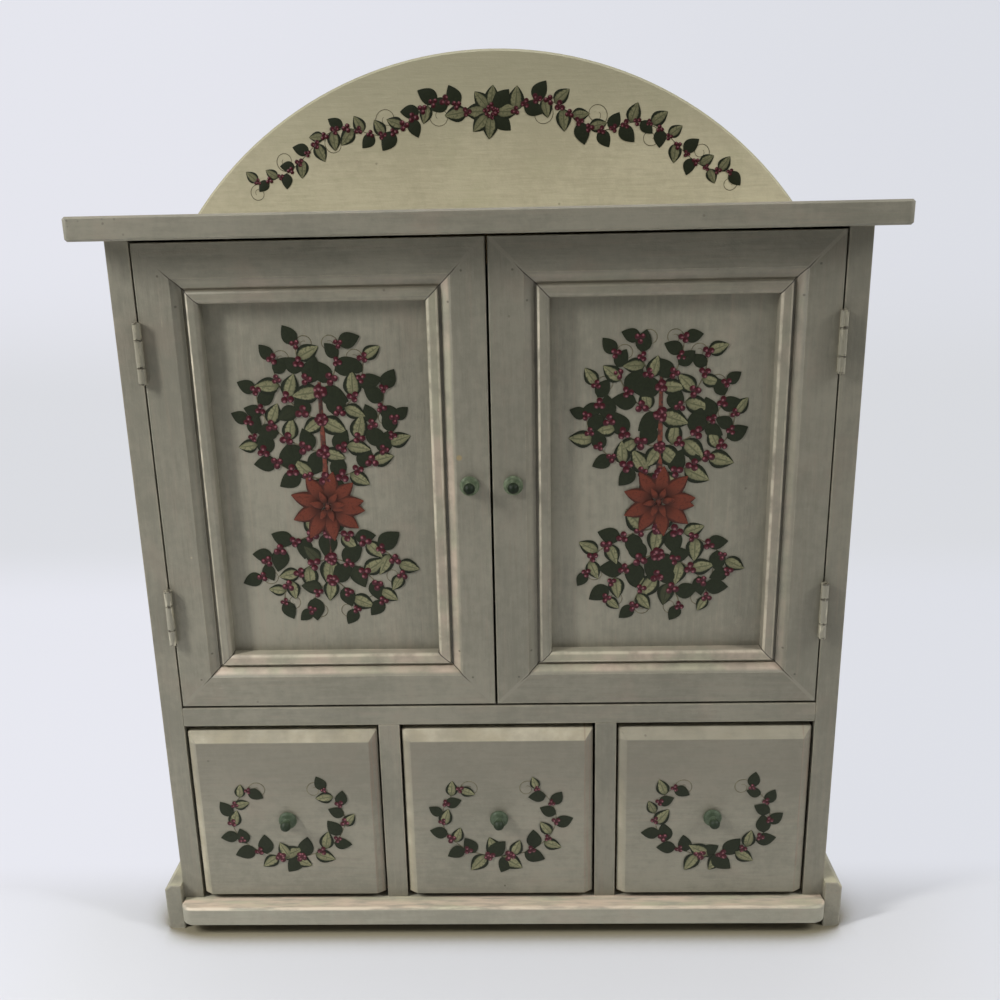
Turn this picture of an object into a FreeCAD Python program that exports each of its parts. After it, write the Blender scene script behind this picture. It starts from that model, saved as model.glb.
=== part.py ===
import FreeCAD, Part
import math
import os

# A painted wooden jewellery cabinet: two panelled doors over three small drawers,
# with an arched crest board at the back of the top. All sizes are in millimetres.
# x runs to the right, y from the front edges of the sides towards the back, z up
# from the table. Each piece is built there and moved once, on writing, so that the
# origin is the bottom centre of the whole cabinet.

Vector = FreeCAD.Vector

# Carcass boards
carcass_width = 305.0
carcass_depth = 130.0
side_thickness = 9.5
base_thickness = 9.5
base_clearance = 5.3
base_overhang = 8.8
base_corner_radius = 6.0
drawer_opening_height = 91.2
divider_thickness = 9.5
shelf_thickness = 9.0
door_opening_height = 206.0
back_thickness = 3.0
back_rebate_width = 4.5
edge_ease = 0.9

# Foot strips along the bottom of each side
foot_thickness = 8.0
foot_height = 23.5
foot_reach = 3.3
foot_chamfer = 2.4
foot_ease = 0.8

# Top board and arched crest board
top_thickness = 9.5
top_side_overhang = 11.5
top_front_overhang = 11.5
top_corner_radius = 2.5
crest_height = 76.0
crest_thickness = 9.5
crest_ease = 1.2
crest_housing_depth = 2.0

# Doors: four mitred lengths of moulding round a thin panel
door_thickness = 9.5
door_side_gap = 0.6
door_centre_gap = 1.0
door_top_gap = 1.0
door_bottom_gap = 1.0
frame_flat = 14.2
frame_edge_ease = 0.6
cove_width = 4.0
cove_depth = 2.2
cove_sag = 0.45
quirk_width = 1.2
quirk_depth = 3.0
bead_width = 5.2
bead_set_back = 0.8
bead_round = 1.5
bead_inner_round = 1.6
panel_rebate_width = 5.0
panel_rebate_depth = 3.3
panel_thickness = 3.2
panel_clearance = 0.3

# Butt hinges, two to a door
hinge_height = 25.4
hinge_inset = 44.0
middle_knuckle = 11.4
leaf_thickness = 0.9
leaf_reach = 10.0
leaf_clearance = 0.3
leaf_relief = 0.3
barrel_radius = 1.65
barrel_stand_off = 0.2
knuckle_gap = 0.3
pin_radius = 0.7
pin_running_clearance = 0.08
pin_end_length = 0.4
hinge_screw_spacing = 15.0
hinge_screw_place = 6.0
screw_head_radius = 1.6
screw_head_depth = 0.75
screw_radius = 0.8
screw_length = 6.0

# Turned knobs
knob_projection = 8.2
knob_flange_radius = 4.2
knob_flange_thickness = 2.2
knob_flange_ease = 0.7
knob_neck_radius = 1.8
knob_neck_cove = 0.6
knob_head_radius = 2.5
knob_tip_radius = 0.8
knob_head_bands = 5
knob_sides = 20
tenon_radius = 2.0
tenon_length = 6.0
door_knob_inset = 8.7
drawer_knob_drop = 2.0

# Door stop with its bar magnets, and the steel plates that meet them
stop_block_width = 46.0
stop_block_depth = 10.0
stop_block_height = 12.0
stop_clearance = 0.3
magnet_width = 10.0
magnet_height = 6.0
magnet_thickness = 3.0
magnet_offset = 15.0
strike_thickness = 1.0

# Necklace hooks on a rail under the top
rail_length = 220.0
rail_width = 12.0
rail_thickness = 9.0
rail_place = 62.0
hook_count = 5
hook_pitch = 44.0
hook_wire_radius = 1.0
hook_bend_radius = 5.5
hook_drop = 4.0
hook_sweep = 225.0
hook_bends = 8
hook_wire_sides = 8
hook_tip_length = 0.5
hook_tip_radius = 0.6
hook_collar_radius = 2.7
hook_collar_thickness = 1.2
hook_shank_length = 6.0

# Drawers
drawer_names = ("left", "middle", "right")
drawer_side_gap = 1.0
drawer_top_gap = 2.6
drawer_front_bottom_gap = 2.7
drawer_running_gap = 0.3
drawer_back_gap = 1.0
drawer_front_thickness = 11.0
drawer_field_proud = 1.5
side_bevel_width = 3.8
top_bevel_width = 5.4
bevel_depth = 2.5
drawer_wall = 6.0
drawer_side_height = 72.0
drawer_rebate_depth = 4.0
drawer_bottom_thickness = 3.0
drawer_groove_depth = 3.0
drawer_groove_height = 4.0
felt_thickness = 1.0
felt_clearance = 0.3

# Brads of the back panel, of flat wire
nail_width = 1.2
nail_length = 12.0
nail_head_width = 2.2
nail_head_thickness = 0.5
nails_per_side = 4
nails_per_shelf = 3
nail_end_distance = 22.0

# Small round pieces, such as screws and pins, are drawn with this many flat sides
peg_sides = 10

# Sizes under this are the same place
tolerance = 1e-6

# Places worked out from the sizes above
half_width = carcass_width / 2
inner_half = half_width - side_thickness
base_top = base_clearance + base_thickness
shelf_bottom = base_top + drawer_opening_height
shelf_top = shelf_bottom + shelf_thickness
carcass_top = shelf_top + door_opening_height
top_surface = carcass_top + top_thickness
back_face = carcass_depth - back_thickness

door_bottom = shelf_top + door_bottom_gap
door_height = door_opening_height - door_bottom_gap - door_top_gap
door_width = (2 * inner_half - 2 * door_side_gap - door_centre_gap) / 2
door_outer_x = -inner_half + door_side_gap
frame_width = frame_flat + cove_width + quirk_width + bead_width
hinge_x = -inner_half + door_side_gap / 2
hinge_y = -barrel_radius - barrel_stand_off
hinge_heights = (door_bottom + hinge_inset, door_bottom + door_height - hinge_inset)
door_leaf_inset = leaf_clearance / 2 + leaf_thickness

drawer_count = len(drawer_names)
opening_width = (2 * inner_half - (drawer_count - 1) * divider_thickness) / drawer_count
drawer_pitch = opening_width + divider_thickness
drawer_width = opening_width - 2 * drawer_side_gap
drawer_floor = base_top + drawer_running_gap
drawer_end = back_face - drawer_back_gap
drawer_front_back = drawer_front_thickness - drawer_field_proud
drawer_inner_half = drawer_width / 2 - drawer_wall
drawer_panel_bottom = drawer_floor + drawer_groove_height
drawer_panel_top = drawer_panel_bottom + drawer_bottom_thickness

front_reach = max(base_overhang, top_front_overhang, drawer_field_proud + knob_projection)
origin_shift = Vector(0, (front_reach - carcass_depth) / 2, 0)


def box(x0, x1, y0, y1, z0, z1):
    return Part.makeBox(x1 - x0, y1 - y0, z1 - z0, Vector(x0, y0, z0))


def rod(radius, length, start, direction):
    return Part.makeCylinder(radius, length, start, direction)


def ring(radius, centre, across, along, sides):
    """The corners of a flat-sided outline about a centre, in the plane of two directions."""
    corners = []
    for i in range(sides):
        angle = 2 * math.pi * i / sides
        corners.append(centre + across * (radius * math.cos(angle)) + along * (radius * math.sin(angle)))
    return corners


def flat_face(corners):
    return Part.Face(Part.makePolygon(corners + corners[:1]))


def through(rings):
    """A solid with flat faces through a row of rings."""
    faces = [flat_face(rings[0]), flat_face(rings[-1])]
    for near, far in zip(rings, rings[1:]):
        for i in range(len(near)):
            faces.append(flat_face([near[i - 1], near[i], far[i], far[i - 1]]))
    solid = Part.makeSolid(Part.makeShell(faces))
    if solid.Volume < 0:
        solid.reverse()
    return solid


def peg(stations, start, axis, sides=peg_sides):
    """A small straight piece from (distance, radius) stations along x, y or z."""
    across = Vector(axis.y, axis.z, axis.x)
    along = axis.cross(across)
    return through([ring(r, start + axis * distance, across, along, sides) for distance, r in stations])


def edges_along(shape, axis):
    """The straight edges of a shape that run along one axis."""
    found = []
    for edge in shape.Edges:
        if not isinstance(edge.Curve, Part.Line):
            continue
        direction = edge.tangentAt(edge.FirstParameter)
        if direction.cross(axis).Length < tolerance:
            found.append(edge)
    return found


def level_edges(shape):
    return [edge for edge in shape.Edges if edge.BoundBox.ZLength < tolerance]


def prism(points, axis_length):
    """A polygon of (x, z) points, extruded along y from the plane y = 0."""
    corners = [Vector(x, 0, z) for x, z in points]
    wire = Part.makePolygon(corners + corners[:1])
    return Part.Face(wire).extrude(Vector(0, axis_length, 0))


def mirrored(shape):
    return shape.mirror(Vector(0, 0, 0), Vector(1, 0, 0))


def save(node, shapes):
    """Write one named piece, or a group of like pieces, in the cabinet's own frame."""
    solids = shapes if isinstance(shapes, list) else [shapes]
    placed = [solid.translated(origin_shift) for solid in solids]
    result = placed[0] if len(placed) == 1 else Part.makeCompound(placed)
    result.exportStep(os.path.join("parts", node + ".step"))


def save_pair(node, left_shape):
    """Write a piece for the left side and its mirror image for the right."""
    solids = left_shape if isinstance(left_shape, list) else [left_shape]
    save(node.format("left"), solids)
    save(node.format("right"), [mirrored(solid) for solid in solids])


def panel_nails():
    """Brads through the back panel into the boards round it, with their heads flush."""
    side_x = inner_half + back_rebate_width / 2
    low = base_top + nail_end_distance
    high = carcass_top - nail_end_distance
    rise = (high - low) / (nails_per_side - 1)
    places = [(sign * side_x, low + i * rise) for sign in (-1, 1) for i in range(nails_per_side)]
    reach = inner_half - nail_end_distance
    run = 2 * reach / (nails_per_shelf - 1)
    for height in (base_clearance + base_thickness / 2, shelf_bottom + shelf_thickness / 2):
        places += [(-reach + i * run, height) for i in range(nails_per_shelf)]
    nails = []
    for x, z in places:
        shank = square_bar(nail_width, x, z, carcass_depth - nail_length)
        head = square_bar(nail_head_width, x, z, carcass_depth - nail_head_thickness)
        nails.append(shank.fuse(head).removeSplitter())
    return nails


def square_bar(width, x, z, y0):
    """A square bar from y0 to the back of the cabinet."""
    half = width / 2
    return box(x - half, x + half, y0, carcass_depth, z - half, z + half)


def without(shape, tools):
    return shape.cut(Part.makeCompound(tools)) if tools else shape


def carcass(nails, screws):
    """Sides, base, shelf, dividers and back of the cabinet."""
    base = box(-half_width, half_width, -base_overhang, back_face, base_clearance, base_top)
    corners = [e for e in edges_along(base, Vector(0, 0, 1)) if e.BoundBox.YMax < 0]
    base = base.makeFillet(base_corner_radius, corners)
    rim = [e for e in level_edges(base) if e.BoundBox.YMax < 0]
    base = base.makeChamfer(edge_ease, rim)
    save("bottom_board", without(base, nails))

    side = box(-half_width, -inner_half, 0, carcass_depth, base_top, carcass_top)
    rebate_x = -inner_half - back_rebate_width
    side = side.cut(box(rebate_x, -inner_half, back_face, carcass_depth, base_top, carcass_top))
    side = without(side, screws)
    for z in hinge_heights:
        side = side.cut(leaf_mortise(z))
    save("side_left", without(side, nails))
    save("side_right", without(mirrored(side), nails))

    save("mid_shelf", without(box(-inner_half, inner_half, 0, back_face, shelf_bottom, shelf_top), nails))
    divider_x = -opening_width / 2
    divider = box(divider_x - divider_thickness, divider_x, 0, back_face, base_top, shelf_bottom)
    save_pair("drawer_divider_{}", divider)
    panel_half = inner_half + back_rebate_width
    panel = box(-panel_half, panel_half, back_face, carcass_depth, base_clearance, carcass_top)
    save("back_panel", without(panel, nails))
    save("back_panel_nails", nails)


def foot_strips():
    """Strips outside the sides that carry the cabinet, with their outer top edge bevelled."""
    outer = half_width + foot_thickness
    section = [
        (-half_width, 0),
        (-outer + foot_ease, 0),
        (-outer, foot_ease),
        (-outer, foot_height - foot_chamfer),
        (-outer + foot_chamfer, foot_height),
        (-half_width, foot_height),
    ]
    strip = prism(section, carcass_depth + foot_reach).translated(Vector(0, -foot_reach, 0))
    front = [e for e in strip.Edges if e.BoundBox.YMax < -foot_reach + tolerance]
    front = [e for e in front if e.BoundBox.XMax < -half_width - tolerance]
    save_pair("foot_strip_{}", strip.makeChamfer(foot_ease, front))


def top_and_crest():
    """The overhanging top board, and the arched board that stands in a housing at its back."""
    reach = half_width + top_side_overhang
    top = box(-reach, reach, -top_front_overhang, carcass_depth, carcass_top, top_surface)
    corners = [e for e in edges_along(top, Vector(0, 0, 1)) if e.BoundBox.YMax < 0]
    top = top.makeFillet(top_corner_radius, corners)
    rim = [e for e in level_edges(top) if e.BoundBox.YMin < carcass_depth - tolerance]
    top = top.makeChamfer(edge_ease, rim)
    front = carcass_depth - crest_thickness
    seat = top_surface - crest_housing_depth
    housing = box(-half_width, half_width, front, carcass_depth, seat, top_surface)
    save("top_board", top.cut(housing))

    crest_radius = (half_width ** 2 + crest_height ** 2) / (2 * crest_height)
    centre = Vector(0, front, top_surface + crest_height - crest_radius)
    disc = rod(crest_radius, crest_thickness, centre, Vector(0, 1, 0))
    disc = disc.makeChamfer(crest_ease, [e for e in disc.Edges if isinstance(e.Curve, Part.Circle)])
    board = box(-half_width, half_width, front, carcass_depth, seat, top_surface + crest_height)
    save("crest_board", disc.common(board))


def moulding_section():
    """Section of the door moulding: x across from its outer edge, y back from its face.

    A flat, then a cove, a narrow quirk and a bead, with a rebate behind for the panel.
    """
    cove_end = frame_flat + cove_width
    bead_start = cove_end + quirk_width
    bead_crown = bead_start + bead_round
    lean = math.sqrt(0.5)
    outer_mid = Vector(frame_edge_ease * (1 - lean), frame_edge_ease * (1 - lean), 0)
    cove_mid = Vector(frame_flat + cove_width / 2, cove_depth / 2 + cove_sag, 0)
    bead_lean = bead_round * (1 - lean)
    bead_left = Vector(bead_start, bead_set_back + bead_round, 0)
    bead_mid = Vector(bead_start + bead_lean, bead_set_back + bead_lean, 0)
    inner_start = Vector(frame_width - bead_inner_round, bead_set_back, 0)
    inner_mid = inner_start + Vector(bead_inner_round * lean, bead_inner_round * (1 - lean), 0)
    shoulder = door_thickness - panel_rebate_depth
    edges = [
        Part.Arc(Vector(0, frame_edge_ease, 0), outer_mid, Vector(frame_edge_ease, 0, 0)),
        Part.LineSegment(Vector(frame_edge_ease, 0, 0), Vector(frame_flat, 0, 0)),
        Part.Arc(Vector(frame_flat, 0, 0), cove_mid, Vector(cove_end, cove_depth, 0)),
        Part.LineSegment(Vector(cove_end, cove_depth, 0), Vector(cove_end, quirk_depth, 0)),
        Part.LineSegment(Vector(cove_end, quirk_depth, 0), Vector(bead_start, quirk_depth, 0)),
        Part.LineSegment(Vector(bead_start, quirk_depth, 0), bead_left),
        Part.Arc(bead_left, bead_mid, Vector(bead_crown, bead_set_back, 0)),
        Part.LineSegment(Vector(bead_crown, bead_set_back, 0), inner_start),
        Part.Arc(inner_start, inner_mid, Vector(frame_width, bead_set_back + bead_inner_round, 0)),
    ]
    rear = [
        Vector(frame_width, bead_set_back + bead_inner_round, 0),
        Vector(frame_width, shoulder, 0),
        Vector(frame_width - panel_rebate_width, shoulder, 0),
        Vector(frame_width - panel_rebate_width, door_thickness, 0),
        Vector(0, door_thickness, 0),
        Vector(0, frame_edge_ease, 0),
    ]
    edges += [Part.LineSegment(a, b) for a, b in zip(rear, rear[1:])]
    return Part.Face(Part.Wire([edge.toShape() for edge in edges]))


def mitred_length(length):
    """One length of moulding along z, its outer edge on x = 0, mitred at both ends."""
    stick = moulding_section().extrude(Vector(0, 0, length))
    ends = [(0, 0), (frame_width, frame_width), (frame_width, length - frame_width), (0, length)]
    return stick.common(prism(ends, door_thickness))


def frame_member(length, angle, corner):
    """A mitred length turned in the plane of the door, with its outer start at a corner."""
    member = mitred_length(length)
    member.rotate(Vector(0, 0, 0), Vector(0, 1, 0), angle)
    return member.translated(corner)


def leaf_mortise(z):
    """The shallow seat of a hinge leaf in the inner face of the left side."""
    depth = door_leaf_inset - door_side_gap / 2
    end = hinge_y + leaf_reach
    low = z - hinge_height / 2
    return box(-inner_half - depth, -inner_half, 0, end, low, low + hinge_height)


def door_mortise(z):
    """The matching seat in the hinge edge of the left door."""
    depth = door_leaf_inset - door_side_gap / 2
    end = hinge_y + leaf_reach
    low = z - hinge_height / 2
    return box(door_outer_x, door_outer_x + depth, 0, end, low, low + hinge_height)


def knuckle_spans():
    """Heights of the three knuckles of a hinge, about its middle."""
    joint = middle_knuckle / 2
    clear = knuckle_gap / 2
    return [
        (-hinge_height / 2, -joint - clear),
        (-joint + clear, joint - clear),
        (joint + clear, hinge_height / 2),
    ]


def hinge_leaf(spans, toward, bore_radius):
    """A leaf with its knuckles about the pin's axis, -1 toward the side or 1 toward the door."""
    inner = toward * leaf_clearance / 2
    outer = toward * door_leaf_inset
    x0, x1 = min(inner, outer), max(inner, outer)
    plate_start = barrel_radius + leaf_relief
    leaf = box(x0, x1, plate_start, leaf_reach, -hinge_height / 2, hinge_height / 2)
    for low, high in spans:
        leaf = leaf.fuse(box(x0, x1, 0, plate_start, low, high))
        leaf = leaf.fuse(rod(barrel_radius, high - low, Vector(0, 0, low), Vector(0, 0, 1)))
    bore = peg([(-hinge_height, bore_radius), (hinge_height, bore_radius)], Vector(0, 0, 0), Vector(0, 0, 1))
    return leaf.cut(bore).removeSplitter()


def hinge_screws(toward):
    """Two countersunk screws of a leaf, about the pin's axis, their heads flush with its face."""
    face = toward * leaf_clearance / 2
    stations = ((0, screw_head_radius), (screw_head_depth, screw_radius), (screw_length, screw_radius))
    heights = (-hinge_screw_spacing / 2, hinge_screw_spacing / 2)
    return [peg(stations, Vector(face, hinge_screw_place, z), Vector(toward, 0, 0)) for z in heights]


def at_hinge(shape, z):
    return shape.translated(Vector(hinge_x, hinge_y, z))


def knob(x, face_y, z):
    """A small turned knob with its tenon: an eased flange, a coved neck and a ball head."""
    flange_rim = knob_flange_radius - knob_flange_ease
    stations = [
        (0, flange_rim),
        (knob_flange_ease, knob_flange_radius),
        (knob_flange_thickness - knob_flange_ease, knob_flange_radius),
        (knob_flange_thickness, flange_rim),
        (knob_flange_thickness + knob_neck_cove, knob_neck_radius),
    ]
    ball_distance = knob_projection - knob_head_radius
    neck_angle = -math.acos(knob_neck_radius / knob_head_radius)
    tip_angle = math.acos(knob_tip_radius / knob_head_radius)
    for i in range(knob_head_bands):
        angle = neck_angle + (tip_angle - neck_angle) * i / knob_head_bands
        distance = ball_distance + knob_head_radius * math.sin(angle)
        stations.append((distance, knob_head_radius * math.cos(angle)))
    stations.append((knob_projection, knob_tip_radius))
    origin = Vector(0, 0, 0)
    turned = peg(stations, origin, Vector(0, -1, 0), knob_sides)
    tenon = peg([(0, tenon_radius), (tenon_length, tenon_radius)], origin, Vector(0, 1, 0))
    return turned.fuse(tenon).removeSplitter().translated(Vector(x, face_y, z))


def doors():
    """The left door in all its pieces, and its mirror image on the right."""
    right_x = door_outer_x + door_width
    top_z = door_bottom + door_height
    hinge_stile = frame_member(door_height, 0, Vector(door_outer_x, 0, door_bottom))
    knob_stile = frame_member(door_height, 180, Vector(right_x, 0, top_z))
    bottom_rail = frame_member(door_width, -90, Vector(right_x, 0, door_bottom))
    top_rail = frame_member(door_width, 90, Vector(door_outer_x, 0, top_z))

    inset = frame_width - panel_rebate_width + panel_clearance
    panel_front = door_thickness - panel_rebate_depth
    panel = box(
        door_outer_x + inset, right_x - inset,
        panel_front, panel_front + panel_thickness,
        door_bottom + inset, top_z - inset,
    )

    screws = [at_hinge(screw, z) for z in hinge_heights for screw in hinge_screws(1)]
    hinge_stile = without(hinge_stile, screws)
    for z in hinge_heights:
        hinge_stile = hinge_stile.cut(door_mortise(z))

    pull = knob(right_x - door_knob_inset, 0, door_bottom + door_height / 2)
    strike = magnet_bar(-magnet_offset, door_thickness - strike_thickness, strike_thickness)

    save_pair("door_{}_stile_hinge", hinge_stile)
    save_pair("door_{}_stile_knob", knob_stile.cut(pull))
    save_pair("door_{}_rail_top", top_rail.cut(strike))
    save_pair("door_{}_rail_bottom", bottom_rail)
    save_pair("door_{}_panel", panel)
    save_pair("door_{}_knob", pull)
    save_pair("door_{}_strike_plate", strike)
    save_pair("door_{}_hinge_screws", screws)
    leaf = hinge_leaf(knuckle_spans()[1:2], 1, pin_radius + pin_running_clearance)
    for word, z in zip(("lower", "upper"), hinge_heights):
        own = [s for s in screws if abs(s.BoundBox.Center.z - z) < hinge_height / 2]
        save_pair("door_{}_hinge_leaf_" + word, without(at_hinge(leaf, z), own))


def fixed_hinge_parts(screws):
    """The leaves on the sides and the four pins."""
    outer_spans = knuckle_spans()[::2]
    leaf = hinge_leaf(outer_spans, -1, pin_radius)
    pin_half = hinge_height / 2 + pin_end_length
    pin = peg([(-pin_half, pin_radius), (pin_half, pin_radius)], Vector(0, 0, 0), Vector(0, 0, 1))
    leaves = [without(at_hinge(leaf, z), screws) for z in hinge_heights]
    pins = [at_hinge(pin, z) for z in hinge_heights]
    save("hinge_leaves_fixed", leaves + [mirrored(piece) for piece in leaves])
    save("hinge_pins", pins + [mirrored(piece) for piece in pins])
    save("carcass_hinge_screws", screws + [mirrored(piece) for piece in screws])


def magnet_bar(x, y0, thickness):
    """The outline of a bar magnet, level with the middle of the stop block."""
    z = carcass_top - stop_block_height / 2
    half_w, half_h = magnet_width / 2, magnet_height / 2
    return box(x - half_w, x + half_w, y0, y0 + thickness, z - half_h, z + half_h)


def door_stop():
    """A block under the top that both doors close against, with a magnet for each."""
    front = door_thickness + stop_clearance
    low = carcass_top - stop_block_height
    half = stop_block_width / 2
    block = box(-half, half, front, front + stop_block_depth, low, carcass_top)
    magnets = [magnet_bar(sign * magnet_offset, front, magnet_thickness) for sign in (-1, 1)]
    save("door_stop_block", without(block, magnets))
    save("door_magnets", magnets)


def hook(x, y, z):
    """A cup hook that hangs from z: shank, collar, and wire bent forward with a blunt tip."""
    across = Vector(1, 0, 0)
    back = Vector(0, 1, 0)
    centre = Vector(0, -hook_bend_radius, -hook_drop)
    rings = [ring(hook_wire_radius, Vector(0, 0, hook_shank_length), across, back, hook_wire_sides)]
    for i in range(hook_bends + 1):
        angle = math.radians(hook_sweep * i / hook_bends)
        outward = Vector(0, math.cos(angle), -math.sin(angle))
        end = centre + outward * hook_bend_radius
        rings.append(ring(hook_wire_radius, end, across, outward, hook_wire_sides))
    tip = end + Vector(0, outward.z, -outward.y) * hook_tip_length
    rings.append(ring(hook_tip_radius, tip, across, outward, hook_wire_sides))
    collar_stations = [(-hook_collar_thickness, hook_collar_radius), (0, hook_collar_radius)]
    collar = peg(collar_stations, Vector(0, 0, 0), Vector(0, 0, 1))
    return through(rings).fuse(collar).removeSplitter().translated(Vector(x, y, z))


def hook_rail():
    """The strip under the top board and the row of hooks screwed up into it."""
    low = carcass_top - rail_thickness
    half = rail_length / 2
    rail = box(-half, half, rail_place, rail_place + rail_width, low, carcass_top)
    middle = rail_place + rail_width / 2
    hooks = [hook((i - (hook_count - 1) / 2) * hook_pitch, middle, low) for i in range(hook_count)]
    save("hook_rail", without(rail, hooks))
    save("necklace_hooks", hooks)


def drawer_front():
    """The front board: a field with a bevel above and at each side, grooved and rebated behind."""
    half = drawer_width / 2
    low = base_top + drawer_front_bottom_gap
    high = shelf_bottom - drawer_top_gap
    edge_y = bevel_depth - drawer_field_proud
    slab = box(-half, half, edge_y, drawer_front_back, low, high)
    rims = []
    field = (-drawer_field_proud, side_bevel_width, top_bevel_width)
    for y, side_inset, top_inset in ((edge_y, 0, 0), field):
        corners = [
            Vector(-half + side_inset, y, low),
            Vector(half - side_inset, y, low),
            Vector(half - side_inset, y, high - top_inset),
            Vector(-half + side_inset, y, high - top_inset),
        ]
        rims.append(Part.makePolygon(corners + corners[:1]))
    front = slab.fuse(Part.makeLoft(rims, True, True)).removeSplitter()
    seat = drawer_front_back - drawer_rebate_depth
    side_top = drawer_floor + drawer_side_height
    for sign in (-1, 1):
        x0, x1 = sorted((sign * half, sign * drawer_inner_half))
        front = front.cut(box(x0, x1, seat, drawer_front_back, low, side_top))
    groove_start = drawer_front_back - drawer_groove_depth
    groove = box(
        -drawer_inner_half, drawer_inner_half,
        groove_start, drawer_front_back,
        drawer_panel_bottom, drawer_panel_top,
    )
    return front.cut(groove)


def drawer_pieces():
    """One drawer about x = 0: front, sides, back, bottom, felt lining and knob."""
    half = drawer_width / 2
    front = drawer_front()
    pull = knob(0, -drawer_field_proud, (base_top + shelf_bottom) / 2 - drawer_knob_drop)
    seat = drawer_front_back - drawer_rebate_depth
    side_top = drawer_floor + drawer_side_height
    side = box(-half, -drawer_inner_half, seat, drawer_end, drawer_floor, side_top)
    groove = box(
        -drawer_inner_half - drawer_groove_depth, -drawer_inner_half,
        seat, drawer_end,
        drawer_panel_bottom, drawer_panel_top,
    )
    side = side.cut(groove)
    back = box(
        -drawer_inner_half, drawer_inner_half,
        drawer_end - drawer_wall, drawer_end,
        drawer_panel_top, side_top,
    )
    panel_half = drawer_inner_half + drawer_groove_depth
    panel = box(
        -panel_half, panel_half,
        drawer_front_back, drawer_end,
        drawer_panel_bottom, drawer_panel_top,
    )
    tongue = box(
        -drawer_inner_half, drawer_inner_half,
        drawer_front_back - drawer_groove_depth, drawer_front_back,
        drawer_panel_bottom, drawer_panel_top,
    )
    felt_half = drawer_inner_half - felt_clearance
    felt = box(
        -felt_half, felt_half,
        drawer_front_back + felt_clearance, drawer_end - drawer_wall - felt_clearance,
        drawer_panel_top, drawer_panel_top + felt_thickness,
    )
    return {
        "front": front.cut(pull),
        "side_left": side,
        "side_right": mirrored(side),
        "back": back,
        "bottom": panel.fuse(tongue).removeSplitter(),
        "felt": felt,
        "knob": pull,
    }


def drawers():
    pieces = drawer_pieces()
    for i, name in enumerate(drawer_names):
        across = Vector((i - (drawer_count - 1) / 2) * drawer_pitch, 0, 0)
        for word, shape in pieces.items():
            save("drawer_" + name + "_" + word, shape.translated(across))


os.makedirs("parts", exist_ok=True)
side_screws = [at_hinge(screw, z) for z in hinge_heights for screw in hinge_screws(-1)]
carcass(panel_nails(), side_screws)
foot_strips()
top_and_crest()
doors()
fixed_hinge_parts(side_screws)
door_stop()
hook_rail()
drawers()
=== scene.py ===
import math
import bpy
from mathutils import Matrix, Vector


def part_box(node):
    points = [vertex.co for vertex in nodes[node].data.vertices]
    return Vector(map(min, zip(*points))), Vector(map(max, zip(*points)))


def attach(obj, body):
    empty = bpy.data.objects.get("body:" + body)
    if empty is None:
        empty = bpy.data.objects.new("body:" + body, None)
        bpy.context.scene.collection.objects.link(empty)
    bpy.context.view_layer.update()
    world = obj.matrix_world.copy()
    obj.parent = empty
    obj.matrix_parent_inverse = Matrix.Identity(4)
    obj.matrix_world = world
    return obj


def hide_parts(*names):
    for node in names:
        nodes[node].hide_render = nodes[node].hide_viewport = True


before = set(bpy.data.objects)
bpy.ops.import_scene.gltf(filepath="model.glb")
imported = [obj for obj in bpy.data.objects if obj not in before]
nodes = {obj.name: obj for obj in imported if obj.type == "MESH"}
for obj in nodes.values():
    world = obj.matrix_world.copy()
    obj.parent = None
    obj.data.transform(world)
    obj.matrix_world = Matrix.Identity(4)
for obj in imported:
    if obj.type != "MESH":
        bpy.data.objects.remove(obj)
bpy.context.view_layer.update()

# The carcass: base, foot strips, sides, shelf and dividers, sawn from thin softwood boards.
# They are glued and painted with a brush in one dull grey-green, which follows the grain of
# each board and is rubbed down to a pale pinkish ground along the edges.
X, Y, Z = 0, 1, 2


def srgb(red, green, blue):
    """A colour as a screen shows it, from 0 to 255, in the linear values that shaders take."""
    shares = [c / 255 for c in (red, green, blue)]
    return tuple(c / 12.92 if c <= 0.04045 else ((c + 0.055) / 1.055) ** 2.4 for c in shares) + (1.0,)


PAINT_DARK = srgb(114, 111, 97)
PAINT_LIGHT = srgb(128, 124, 109)
PAINT_WARM = srgb(133, 121, 106)
# The pale ground under the paint, also laid on as painted light in the door rails' quirks.
PALE_GROUND_AND_LIGHT = srgb(196, 184, 158)
# Dark brown for dirt, dents, pits and cracks, and for painted shade in creases and seams.
GRIME_AND_SHADE = srgb(52, 45, 34)
STREAKS_ACROSS = 560.0
STREAKS_ALONG = 60.0
WORN_EDGE = 0.0014
# Dents and chips: scale, share of the cells, size, strength and colour.
SPECKS = (
    (41.0, 0.09, 0.028, 0.8, GRIME_AND_SHADE),
    (120.0, 0.06, 0.07, 0.35, GRIME_AND_SHADE),
    (53.0, 0.07, 0.045, 0.5, PALE_GROUND_AND_LIGHT),
)


class Value:
    """An output of a node, on which sums and comparisons can be written out as on numbers."""

    def __init__(self, socket):
        self.socket = socket
        self.tree = socket.id_data

    def __add__(self, other):
        return joined("ADD", self, other)

    def __sub__(self, other):
        return joined("SUBTRACT", self, other)

    def __rsub__(self, other):
        return joined("SUBTRACT", other, self)

    def __mul__(self, other):
        return joined("MULTIPLY", self, other)

    def __truediv__(self, other):
        return joined("DIVIDE", self, other)

    def __lt__(self, other):
        return joined("LESS_THAN", self, other)

    def __gt__(self, other):
        return joined("LESS_THAN", other, self)

    def __abs__(self):
        return joined("ABSOLUTE", self)


class Outputs:
    """The outputs of a node by name or number, each of them a Value."""

    def __init__(self, node):
        self.node = node

    def __getitem__(self, key):
        return Value(self.node.outputs[key])


def fill(node, inputs):
    """Sets inputs of a node to plain values, or links them to the outputs of other nodes."""
    for key, value in inputs.items():
        if isinstance(value, Value):
            node.id_data.links.new(value.socket, node.inputs[key])
        else:
            node.inputs[key].default_value = value


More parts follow.
